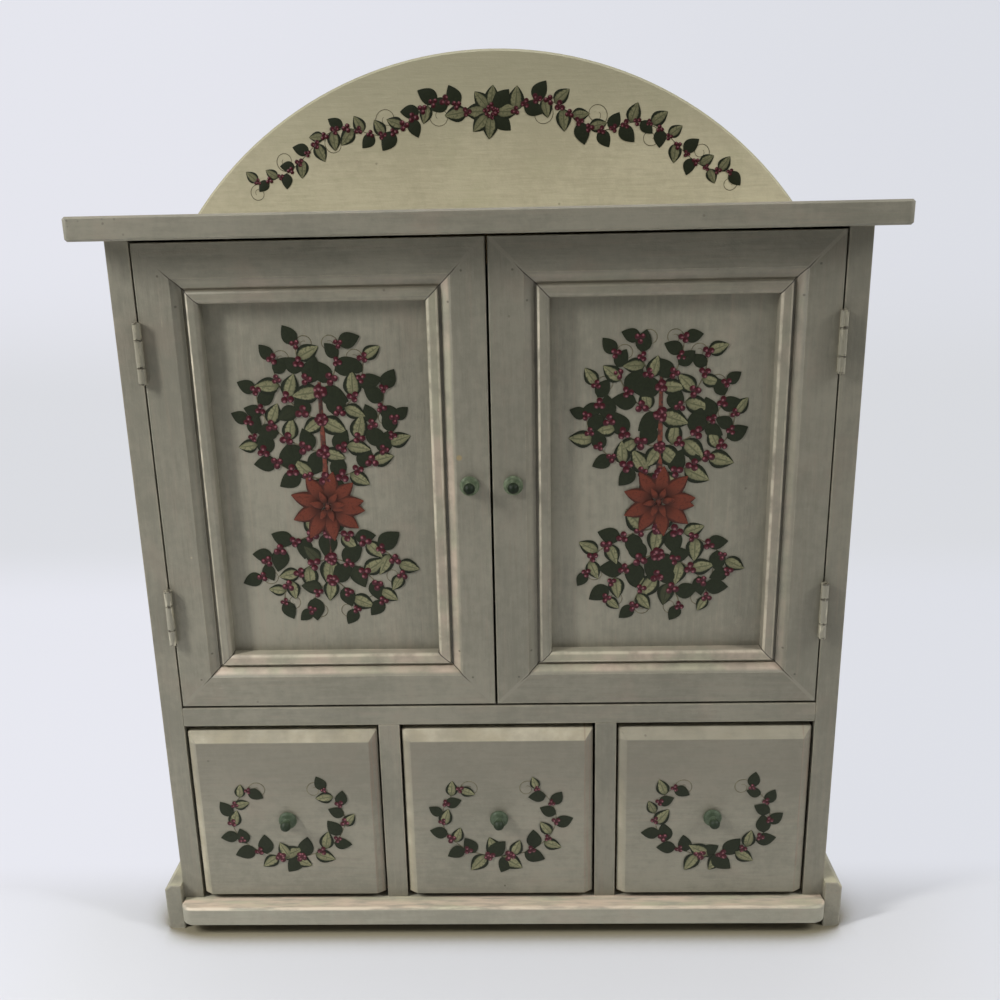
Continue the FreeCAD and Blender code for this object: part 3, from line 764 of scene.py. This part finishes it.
def framed(low, high, right_wear_and_highlight, stain=None):
    """The marks of a door frame: wear and painted highlight on the mouldings, painted shade and light in
    the quirk, mitre cracks and pins.
    """
    middle, half = (low + high) / 2, (high - low) / 2

    def marks(place, plain):
        x, z = height(place, X), height(place, Z)
        ax = half.x - abs(x - middle.x)
        az = half.z - abs(z - middle.z)
        inward = joined("MINIMUM", ax, az)
        on_rail = az < ax
        low_down = z < middle.z
        to_right = x > middle.x
        joint = ax - az
        colour = mix(near(joint, 0.0, MITRE_REACH), plain, PAINT_FILL)
        blotches = between(noise(place, 130.0, 5.0), 0.3, 0.66)
        tints = between(noise(place, 45.0, 3.0), 0.4, 0.6)
        worn = mix(tints, WORN_PINK, WORN_GREEN)
        # Rubbed paint on the cove and the bead, with painted highlight strongest on the bottom rail and
        # the right stiles, which face the lamps.
        cove = between(inward, COVE_MIDDLE - 0.0016, COVE_MIDDLE)
        cove = cove * between(inward, QUIRK_MIDDLE - 0.0002, QUIRK_MIDDLE - 0.0008)
        bead = near(inward, BEAD_MIDDLE, 0.0024) * 0.75
        band = largest(cove, bead) * (blotches * 0.55 + 0.45)
        share = either(on_rail, either(low_down, 0.75, 0.2), either(to_right, right_wear_and_highlight, 0.06))
        colour = mix(band * share, colour, worn)
        # Painted highlight with some wear along the bead's outer and inner edges.
        rim = near(inward, BEAD_OUTSIDE, 0.0004) * (blotches + 0.3)
        left_rim = between(z, middle.z - 0.8 * half.z, middle.z + 0.6 * half.z) * 0.5 + 0.2
        upright_rim = either(to_right, 0.6 * right_wear_and_highlight, left_rim)
        share = either(on_rail, either(low_down, 0.3, 0.1), upright_rim)
        colour = mix(rim * share, colour, PALE_WEAR_AND_HIGHLIGHT)
        inner = near(inward, BEAD_INSIDE, 0.0005) * blotches
        share = either(on_rail, either(low_down, 0.35, 0.1), either(to_right, 0.5, 0.1))
        colour = mix(inner * share, colour, PALE_WEAR_AND_HIGHLIGHT)
        # The quirk: painted shade with some dirt in the stiles, and painted light in the rails.
        quirk = near(inward, QUIRK_MIDDLE, 0.0006)
        colour = mix(quirk * either(on_rail, 0.3, 0.0), colour, PALE_GROUND_AND_LIGHT)
        colour = mix(quirk * either(on_rail, 0.0, 0.25), colour, GRIME_AND_SHADE)
        crack = near(joint + (blotches * 0.0004 - 0.0002), 0.0, CRACK_REACH)
        crack = crack * between(inward, CRACK_START, CRACK_FULL)
        colour = mix(crack * 0.9, colour, GRIME_AND_SHADE)
        spots = [(ax - across, az - up, PIN_REACH, GRIME_AND_SHADE) for across, up in PIN_PLACES]
        if stain:
            spots.append((x - stain[0], z - stain[1], STAIN_REACH, STAIN))
        for dx, dz, reach, tone in spots:
            way = add(place.tree, "ShaderNodeCombineXYZ", {"X": dx, "Y": dz})["Vector"]
            away = joined("LENGTH", way, kind="ShaderNodeVectorMath")
            colour = mix(between(away, reach * 1.3, reach * 0.6) * 0.6, colour, tone)
        moulded = between(height(place, Y), door_back - 0.0006, door_back - 0.0012)
        return mix(moulded, plain, colour)
    return marks


DOOR_STAIN = {"left": (-0.0133, 0.230), "right": None}
# How much of each door's right stile is rubbed and painted with highlight.
RIGHT_STILE_WEAR_AND_HIGHLIGHT = {"left": 0.7, "right": 0.3}
# Painted shade: each door frame in a deeper shade of the paint, the right one deeper still; painted light:
# the panels a shade lighter.
FRAME_PAINTED_SHADES = {"left": 0.95, "right": 0.88}
panel_paint = brushed_paint("panel paint", Z, body_tones(1.05))
for side, share in FRAME_PAINTED_SHADES.items():
    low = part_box(f"door_{side}_rail_bottom")[0]
    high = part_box(f"door_{side}_rail_top")[1]
    marks = framed(low, high, RIGHT_STILE_WEAR_AND_HIGHLIGHT[side], DOOR_STAIN[side])
    upright = brushed_paint(f"{side} door stiles", Z, body_tones(share), marks=marks)
    level = brushed_paint(f"{side} door rails", X, body_tones(share), marks=marks)
    for member in ("stile_hinge", "stile_knob"):
        finish_node(f"door_{side}_{member}", upright, DOOR_EASE)
    for member in ("rail_top", "rail_bottom"):
        finish_node(f"door_{side}_{member}", level, DOOR_EASE)
    finish_node(f"door_{side}_panel", panel_paint)


# The picture on each door panel: a rosette of terracotta petals in the middle, on a short
# terracotta stem, from which pairs of leafy branches with berries and curls arch up and down.
CLAY = srgb(112, 53, 34)
CLAY_SHADE = srgb(40, 21, 14)
PETAL = srgb(98, 46, 31)
ROSETTE_PLACE = -0.010
STEM_SPAN = (-0.046, 0.044)
STEM_STEPS = 20
# Each pair's foot on the stem, its reach outwards and its rise.
BRANCHES = (
    (0.002, 0.031, 0.026), (0.014, 0.027, 0.027), (0.028, 0.019, 0.026), (0.040, 0.009, 0.020),
    (-0.022, 0.031, -0.020), (-0.034, 0.022, -0.020), (-0.044, 0.010, -0.014),
)


def petal_paint():
    """Terracotta petals, dark at the foot and along the rim, with dry streaks of the brush."""
    material, shader, place = new_finish("petal paint")
    across, along = place_on_shape(place)
    strokes = noise(place, 1100.0, 3.0)
    rim = between(abs(across) + strokes * 0.3, 0.74, 0.98)
    shade = largest(rim * 0.75, between(along, 0.55, 0.1) * 0.8)
    shade = largest(shade, between(strokes, 0.5, 0.68) * 0.4)
    colour = mix(shade, PETAL, CLAY_SHADE)
    fill(shader, {"Base Color": colour, "Roughness": 0.55, "Specular IOR Level": 0.25})
    return material


clay_finish = line_paint("terracotta paint", CLAY, CLAY_SHADE, 420.0)
petal_finish = petal_paint()
petal = leaf_shape("petal", 0.27, 0.85, 0.02)


def door_branch(cx, cz, side, foot, reach, rise, steps=24):
    """A branch that leaves the stem, swings out and turns up or down at its tip."""
    stroke = []
    for i in range(steps + 1):
        t = i / steps
        x = reach * math.sin(math.pi / 2 * t ** 0.8)
        z = foot + rise * t ** 1.7 + math.copysign(0.003, rise) * math.sin(math.pi * t)
        stroke.append((cx + side * x, cz + z, 1 - 0.25 * t))
    return stroke


for number, side in enumerate(("left", "right")):
    low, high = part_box(f"door_{side}_panel")
    cx, cz = (low.x + high.x) / 2, (low.z + high.z) / 2
    y = low.y - STROKE_LIFT
    foot, head = STEM_SPAN
    shares = [i / STEM_STEPS for i in range(STEM_STEPS + 1)]
    stem = [[(cx, cz + foot + (head - foot) * t, 1 - abs(t - 0.5)) for t in shares]]
    sprays = [door_branch(cx, cz, s, *branch) for branch in BRANCHES for s in (-1, 1)]
    curls = []
    for spray, s in zip(sprays, (-1, 1) * len(BRANCHES)):
        x, z, _ = spray[-1]
        turn = s if z > cz + ROSETTE_PLACE else -s
        curls.append(curl(x, z, 0.0040, math.pi / 2 * (1 - s), 1.3, turn))
    rosette = [ring(cx, cz + ROSETTE_PLACE, 0.0026)]
    heart = [ring(cx, cz + ROSETTE_PLACE, 0.0012)]
    prefix = f"door_{side}_"
    decor = [
        painted_lines(prefix + "spray_stem", stem, y, 0.0028, clay_finish),
        painted_lines(prefix + "spray_branches", sprays, y, 0.0006, tendril_finish),
        painted_lines(prefix + "spray_curls", curls, y, CURL_WIDTH, tendril_finish),
        along_vines(
            prefix + "spray_leaves", sprays, y - 0.0001, leaf, leaf_finish, 17 + number,
            spacing=0.0050, swing=0.9, jitter=0.5, sizes=(0.0096, 0.0130),
        ),
        along_vines(
            prefix + "spray_berries", sprays, y - 0.0003, berries, berry_finish, 23 + number,
            spacing=0.0070, swing=2.0, jitter=1.4, sizes=(0.0074, 0.0098), lift=0.0001,
        ),
        along_vines(
            prefix + "rosette_petals", rosette, y - 0.0004, petal, petal_finish, 11 + number,
            spacing=0.0018, swing=0.0, jitter=0.06, sizes=(0.0125, 0.014), turn=OUTWARDS,
        ),
        along_vines(
            prefix + "rosette_heart", heart, y - 0.0007, petal, petal_finish, 13 + number,
            spacing=0.0012, swing=0.0, jitter=0.3, sizes=(0.0055, 0.007), turn=OUTWARDS,
        ),
    ]
    set_pieces(decor, f"door_{side}")


# The hinges: brass-plated butts that were brushed over with the paint while closed, so the
# knuckles are dull grey-green and only the rubbed edge shows metal. Screws hold each leaf.
KNUCKLE_JOINT = 0.0057
RUBBED_PLATE = srgb(204, 197, 172)


def painted_hinge():
    """Brass-plated steel under thin paint that has worn off the ridges, with painted shade in the seams
    between the knuckles and at the barrel's ends.
    """
    material, shader, place = new_finish("painted hinge")
    bare = between(grained(place, Z, 700.0, 120.0), 0.54, 0.66)
    share = largest(edge_wear(place, 0.0006), bare * 0.8) * 0.9
    colour = mix(share, PAINT_LIGHT, RUBBED_PLATE)
    ragged = between(noise(place, 900.0, 3.0), 0.42, 0.6)
    # Painted shade at the knuckle seams and the ends of the barrel.
    for leaf_name in ("door_left_hinge_leaf_upper", "door_left_hinge_leaf_lower"):
        low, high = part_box(leaf_name)
        off = abs(height(place) - (low.z + high.z) / 2)
        for distance in (KNUCKLE_JOINT, (high.z - low.z) / 2):
            pits_and_shade = near(off, distance, 0.0007) * ragged
            colour = mix(pits_and_shade * 0.85, colour, GRIME_AND_SHADE)
            share = share * (1.0 - pits_and_shade)
    fill(shader, {"Base Color": colour, "Metallic": share, "Roughness": 0.3})
    return material


hinge_metal = painted_hinge()
finish_node("hinge_leaves_fixed", hinge_metal)
finish_node("hinge_pins", hinge_metal)
screw_steel = metal("zinc screws", srgb(178, 170, 148), 0.34, srgb(122, 112, 88))
finish_node("carcass_hinge_screws", screw_steel)
for side in ("left", "right"):
    finish_node(f"door_{side}_hinge_leaf_upper", hinge_metal)
    finish_node(f"door_{side}_hinge_leaf_lower", hinge_metal)
    finish_node(f"door_{side}_hinge_screws", screw_steel)
    finish_node(f"door_{side}_strike_plate", plain_steel)


# The knobs: small turned wooden knobs glued into the doors and drawers by a tenon, in sage
# green paint, with a painted dark reflection on the end of the ball and painted highlight along the edges.
BALL_START = 0.0046
BALL_MIDDLE = 0.0064
KNOB_ROUNDING = 0.0007
DRAWERS = ("left", "middle", "right")
# Each knob's green, its pale painted highlight, and the dark painted reflection on its ball.
DOOR_KNOB_GREENS = (srgb(70, 81, 60), srgb(136, 145, 120), srgb(20, 30, 15))
DRAWER_KNOB_GREENS = (srgb(58, 69, 52), srgb(96, 107, 88), srgb(36, 45, 31))


def knob_paint(name, face_y, green, pale, ball_reflection):
    """Mid green paint, with a painted dark reflection on the end of the ball and painted highlight along
    the edges.
    """
    material, shader, place = new_finish(name)
    cloud = between(noise(place, 420.0, 4.0), 0.4, 0.64)
    colour = mix(cloud * 0.3, green, pale)
    # Painted highlight along the edges, then a painted dark reflection on the end of the ball.
    colour = mix(edge_wear(place, 0.0008) * 0.6, colour, pale)
    ragged = height(place, Y) + cloud * 0.0004
    colour = mix(between(ragged, face_y - BALL_START, face_y - BALL_MIDDLE), colour, ball_reflection)
    fill(shader, {
        "Base Color": colour,
        "Roughness": 0.5,
        "Specular IOR Level": 0.2,
        "Normal": softened(place, KNOB_ROUNDING),
    })
    return material


drawer_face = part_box("drawer_left_front")[0].y
door_knob_finish = knob_paint("door knob gloss", carcass_front, *DOOR_KNOB_GREENS)
drawer_knob_finish = knob_paint("drawer knob gloss", drawer_face, *DRAWER_KNOB_GREENS)
for side in ("left", "right"):
    finish_node(f"door_{side}_knob", door_knob_finish)
for name in DRAWERS:
    finish_node(f"drawer_{name}_knob", drawer_knob_finish)


# The drawers: a painted front with a raised field and a bevel, rubbed and with painted highlight,
# on a bare softwood box whose thin bottom is set into grooves, with a felt lining laid on it.
SOFTWOOD = (srgb(190, 162, 120), srgb(216, 192, 152))
SIDE_BEVEL = 0.0038
TOP_BEVEL = 0.0054
BEVEL_CREAM = srgb(172, 164, 143)
BEVEL_GREEN = srgb(152, 144, 122)
BEVEL_BROWN = srgb(126, 106, 90)
DRAWER_UPPER_SHADE = srgb(107, 102, 89)
# The wear and painted highlight of the top and the left bevel.
BEVEL_WEAR_AND_HIGHLIGHT = {"left": (0.8, 0.9), "middle": (0.9, 0.95), "right": (0.35, 0.6)}


def bevelled(low, high, top_wear_and_highlight, left_wear_and_highlight):
    """The marks of a drawer front: top and left bevels pale with wear and painted highlight, painted shade
    on the upper field, and brown streaks in the right bevel.
    """
    def marks(place, colour):
        x, z = height(place, X), height(place)
        down = (high.z - z) / TOP_BEVEL
        left = (x - low.x) / SIDE_BEVEL
        right = (high.x - x) / SIDE_BEVEL
        across = joined("MINIMUM", left, right)
        on_top = between(down, 1.08, 0.92) * (down < across)
        at_left = between(left, 1.1, 0.9) * (left < down)
        at_right = between(right, 1.05, 0.95) * (right < down)
        uneven = between(noise(place, 110.0, 5.0), 0.26, 0.64)
        tints = between(noise(place, 60.0, 4.0), 0.4, 0.62)
        cream = mix(tints, BEVEL_CREAM, BEVEL_GREEN)
        # Wear and painted highlight on the top and left bevels.
        at_left = at_left * (between(left, 1.0, 0.25) * 0.65 + 0.35)
        pale = on_top * top_wear_and_highlight + at_left * left_wear_and_highlight
        colour = mix(pale * (uneven * 0.5 + 0.5), colour, cream)
        # Painted shade: the field darker towards the top.
        middle, half = (low.z + high.z) / 2, (high.z - low.z) / 2
        upper = between(z, middle - 0.2 * half, middle + 0.6 * half)
        shaded_upper_field = upper * between(down, 0.95, 1.1)
        colour = mix(shaded_upper_field * 0.5, colour, DRAWER_UPPER_SHADE)
        streaks = between(grained(place, Z, 900.0, 30.0), 0.45, 0.65)
        line = near(right, 1.0, 0.09) * (uneven * 0.5)
        return mix(largest(at_right * (streaks * 0.55), line), colour, BEVEL_BROWN)
    return marks


drawer_wood = bare_wood("bare softwood", Y, *SOFTWOOD)
drawer_back_wood = bare_wood("bare softwood of the backs", X, *SOFTWOOD)
for name, wear in BEVEL_WEAR_AND_HIGHLIGHT.items():
    body = f"drawer_{name}"
    front_marks = bevelled(*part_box(body + "_front"), *wear)
    finish_node(body + "_front", brushed_paint(body + " paint", X, marks=front_marks), BOARD_EASE)
    for part in ("_side_left", "_side_right", "_bottom"):
        finish_node(body + part, drawer_wood, BOARD_EASE)
    finish_node(body + "_back", drawer_back_wood, BOARD_EASE)


# The picture on each drawer front: two leafy sprigs that cross under the knob and rise
# round it like an open wreath, with berries and two curls above.
WREATH_ACROSS = 0.0265
WREATH_UP = 0.0205
WREATH_START = -100
WREATH_TURN = 148
WREATH_STEPS = 30
for number, name in enumerate(DRAWERS):
    body = f"drawer_{name}"
    knob_low, knob_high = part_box(body + "_knob")
    cx, cz = (knob_low.x + knob_high.x) / 2, (knob_low.z + knob_high.z) / 2
    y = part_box(body + "_front")[0].y - STROKE_LIFT
    sprigs = []
    curls = []
    for side in (-1, 1):
        sprig = []
        for i in range(WREATH_STEPS + 1):
            t = i / WREATH_STEPS
            angle = math.radians(WREATH_START + WREATH_TURN * t)
            x = cx + side * WREATH_ACROSS * math.cos(angle)
            sprig.append((x, cz + WREATH_UP * math.sin(angle), 1 - 0.3 * t))
        sprigs.append(sprig)
        tip_x, tip_z, _ = sprig[-1]
        curls.append(curl(tip_x, tip_z, 0.0046, math.pi / 2 * (1 - side), 1.3, side))
    decor = [
        painted_lines(body + "_sprig_stems", sprigs, y, STEM_WIDTH, tendril_finish),
        painted_lines(body + "_sprig_curls", curls, y, CURL_WIDTH, tendril_finish),
        along_vines(
            body + "_sprig_leaves", sprigs, y - 0.0001, leaf, leaf_finish, 31 + number,
            spacing=0.0050, swing=0.85, jitter=0.4, sizes=(0.0092, 0.0118),
        ),
        along_vines(
            body + "_sprig_berries", sprigs, y - 0.0003, berries, berry_finish, 41 + number,
            spacing=0.0088, swing=2.4, jitter=1.4, sizes=(0.0064, 0.0084), lift=0.0001,
        ),
    ]
    set_pieces(decor, body)
for shape in (leaf, berries, petal):
    bpy.data.objects.remove(shape)


# The felt linings: a rectangle of dark green craft felt cut a little small and laid on each
# drawer bottom, with a slightly uneven face.
FELT_THICKNESS = 0.0008
FELT_STEPS = 36
FELT_RIPPLE = 0.00008


def felt_finish():
    material, shader, place = new_finish("green felt")
    tufts = noise(place, 900.0, 4.0, 0.7)
    fibres = noise(place, 3200.0, 2.0, 0.6)
    colour = mix(between(tufts, 0.36, 0.64), srgb(34, 66, 48), srgb(56, 92, 68))
    colour = mix(between(fibres, 0.5, 0.7) * 0.4, colour, srgb(86, 118, 94))
    fill(shader, {
        "Base Color": colour,
        "Roughness": 0.95,
        "Sheen Weight": 0.5,
        "Sheen Roughness": 0.5,
        "Normal": bumped(tufts + fibres * 0.5, 0.6, 0.0004),
    })
    return material


felt_material = felt_finish()
for name in DRAWERS:
    body = f"drawer_{name}"
    low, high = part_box(body + "_felt")
    vertices = []
    for i in range(FELT_STEPS + 1):
        for j in range(FELT_STEPS + 1):
            x = low.x + (high.x - low.x) * i / FELT_STEPS
            y = low.y + (high.y - low.y) * j / FELT_STEPS
            ripple = FELT_RIPPLE * (1 + math.sin(i * 0.9 + low.x * 90) * math.sin(j * 0.7))
            vertices.append((x, y, low.z + ripple))
    row = FELT_STEPS + 1
    starts = [i * row + j for i in range(FELT_STEPS) for j in range(FELT_STEPS)]
    faces = [(a, a + row, a + row + 1, a + 1) for a in starts]
    felt = mesh_object(body + "_felt_lining", vertices, faces)
    wall = felt.modifiers.new("thickness", "SOLIDIFY")
    wall.thickness = FELT_THICKNESS
    wall.offset = 1.0
    felt.data.materials.append(felt_material)
    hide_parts(body + "_felt")
    set_pieces([felt], body)


# The setting: a pale sweep of paper that turns up behind the object, lit by a wide soft
# lamp above and a narrow upright one at each side, which lights the mouldings from the side.
PAPER_FLOOR_LEFT = srgb(184, 185, 189)
PAPER_FLOOR_RIGHT = srgb(194, 195, 199)
PAPER_BOUNCE = srgb(240, 240, 240)
PAPER_SHADE = srgb(118, 112, 94)
PAPER_LEFT = srgb(233, 234, 242)
PAPER_RIGHT = srgb(224, 226, 233)
PAPER_TURN_SHADE = srgb(229, 231, 235)
FLOOR_TURN = 0.25
SHADE_REACH = 0.03
SHADE_START = 0.87
SHADE_FULL = 0.5
BESIDE_START = 0.175
BESIDE_FULL = 0.25
TINT_TURN = 0.45
TURN_MIDDLE = 0.78
TURN_REACH = 0.33
TURN_SHADE = 0.075
SWEEP_SIDE = 4.5
SWEEP_FRONT = -1.6
SWEEP_TURN = 0.75
SWEEP_RADIUS = 0.5
SWEEP_TOP = 2.4


def paper_finish():
    """Matt paper that the lamps light, with a painted shadow right under the base, lifted behind and
    painted darker at the turn.

    It sends light back as white paper does, and is toned down only where the camera sees it.
    """
    material, shader, place = new_finish("pale paper")
    tree = place.tree
    parts = add(tree, "ShaderNodeSeparateXYZ", {"Vector": place})
    x, y = parts["X"], parts["Y"]
    open_sky = add(tree, "ShaderNodeAmbientOcclusion", {"Distance": SHADE_REACH}, samples=16)["AO"]
    paper = mix(between(x, -FLOOR_TURN, FLOOR_TURN), PAPER_FLOOR_LEFT, PAPER_FLOOR_RIGHT)
    # Painted shadow on the floor right under the base.
    paper = mix(between(open_sky, SHADE_START, SHADE_FULL), paper, PAPER_SHADE)
    path = add(tree, "ShaderNodeLightPath")
    mirrored = largest(path["Is Glossy Ray"], path["Is Transmission Ray"])
    seen = largest(path["Is Camera Ray"], mirrored)
    colour = mix(seen, PAPER_BOUNCE, paper)
    fill(shader, {"Base Color": colour, "Roughness": 0.9, "Specular IOR Level": 0.1})
    behind = between(y, carcass_front, carcass_front + 0.05)
    beside = between(abs(x), BESIDE_START, BESIDE_FULL) * 0.6
    share = seen * (largest(behind, beside) * 0.95)
    tint = mix(between(x / (y + 0.5), -TINT_TURN, TINT_TURN), PAPER_LEFT, PAPER_RIGHT)
    # Painted shade where the paper turns up.
    at_turn = near(y, TURN_MIDDLE, TURN_REACH)
    tint = mix(at_turn * 0.7, tint, PAPER_TURN_SHADE)
    glow = add(tree, "ShaderNodeEmission", {"Color": tint, "Strength": 1.0 - at_turn * TURN_SHADE})
    inputs = {0: share, 1: Value(shader.outputs["BSDF"]), 2: glow[0]}
    surface = add(tree, "ShaderNodeMixShader", inputs)[0]
    fill(tree.nodes["Material Output"], {"Surface": surface})
    return material


profile = [(SWEEP_FRONT, 0.0), (SWEEP_TURN, 0.0)]
for i in range(1, 17):
    angle = math.pi / 2 * i / 16
    profile.append((SWEEP_TURN + SWEEP_RADIUS * math.sin(angle), SWEEP_RADIUS * (1 - math.cos(angle))))
profile.append((SWEEP_TURN + SWEEP_RADIUS, SWEEP_TOP))
corners = [(x, y, z) for y, z in profile for x in (-SWEEP_SIDE, SWEEP_SIDE)]
strips = [(2 * i, 2 * i + 1, 2 * i + 3, 2 * i + 2) for i in range(len(profile) - 1)]
sweep = mesh_object("paper_sweep", corners, strips)
for polygon in sweep.data.polygons:
    polygon.use_smooth = True
sweep.data.materials.append(paper_finish())

FRONT_MIDDLE = (0.0, carcass_front, 0.24)
FRONT_FOOT = (0.0, carcass_front, -0.5)
WARM_WHITE = (1.0, 0.99, 0.97)
WHITE = (1.0, 0.995, 0.98)
# Each lamp's place, aim, width and length, power in watts, colour and beam in degrees.
LAMPS = {
    "lamp above": ((0.0, 0.0, 1.4), FRONT_MIDDLE, (0.7, 0.7), 7.2, WARM_WHITE, 180),
    "lamp left": ((-0.72, -0.37, 0.66), FRONT_FOOT, (0.10, 0.40), 3.8, WHITE, 110),
    "lamp right": ((0.80, -0.30, 0.70), FRONT_FOOT, (0.12, 0.40), 2.3, WHITE, 110),
}
for name, (place, aim, size, power, colour, beam) in LAMPS.items():
    data = bpy.data.lights.new(name, "AREA")
    data.shape = "RECTANGLE"
    data.size, data.size_y = size
    data.energy = power
    data.color = colour
    data.spread = math.radians(beam)
    lamp = placed(name, data)
    lamp.location = place
    lamp.rotation_euler = (Vector(aim) - Vector(place)).to_track_quat("-Z", "Y").to_euler()

ROOM_LIGHT = 0.10
ROOM_RISE = 0.21
ROOM_TONE = (0.95, 0.97, 1.0, 1.0)
DIM_BEHIND = 0.8
world = bpy.data.worlds.new("room")
bpy.context.scene.world = world
world.use_nodes = True
sky = world.node_tree
way = add(sky, "ShaderNodeSeparateXYZ", {"Vector": add(sky, "ShaderNodeTexCoord")["Generated"]})
level_light = between(way["Z"], -0.1, 0.7) * ROOM_RISE + ROOM_LIGHT
behind_camera = between(way["Y"], -0.2, -0.8) * between(way["Z"], 0.6, 0.1)
dimmed = 1.0 - behind_camera * DIM_BEHIND
fill(sky.nodes["Background"], {"Strength": level_light * dimmed, "Color": ROOM_TONE})
bpy.context.scene.view_settings.view_transform = "Standard"

# The camera, where the photograph was taken from: a little right of the middle line, not
# quite as high as the top board, 0.41 m in front of the doors and leaning slightly.
CAMERA_PLACE = (0.01390, carcass_front - 0.40906, 0.32648)
CAMERA_PITCH = math.radians(15.71)
CAMERA_YAW = math.radians(-1.46)
CAMERA_ROLL = math.radians(-1.20)
FOCAL_SHARE = 1.0010

ahead, down = math.cos(CAMERA_PITCH), math.sin(CAMERA_PITCH)
forward = Vector((math.sin(CAMERA_YAW) * ahead, math.cos(CAMERA_YAW) * ahead, -down))
level_way = Vector((math.cos(CAMERA_YAW), -math.sin(CAMERA_YAW), 0.0))
sheer = level_way.cross(forward)
right = level_way * math.cos(CAMERA_ROLL) + sheer * math.sin(CAMERA_ROLL)
up = sheer * math.cos(CAMERA_ROLL) - level_way * math.sin(CAMERA_ROLL)
camera_data = bpy.data.cameras.new("camera")
camera_data.lens = camera_data.sensor_width * FOCAL_SHARE
camera_data.clip_start = 0.01
camera = placed("camera", camera_data)
turned = Matrix((right, up, -forward)).transposed().to_4x4()
camera.matrix_world = Matrix.Translation(CAMERA_PLACE) @ turned
bpy.context.scene.camera = camera
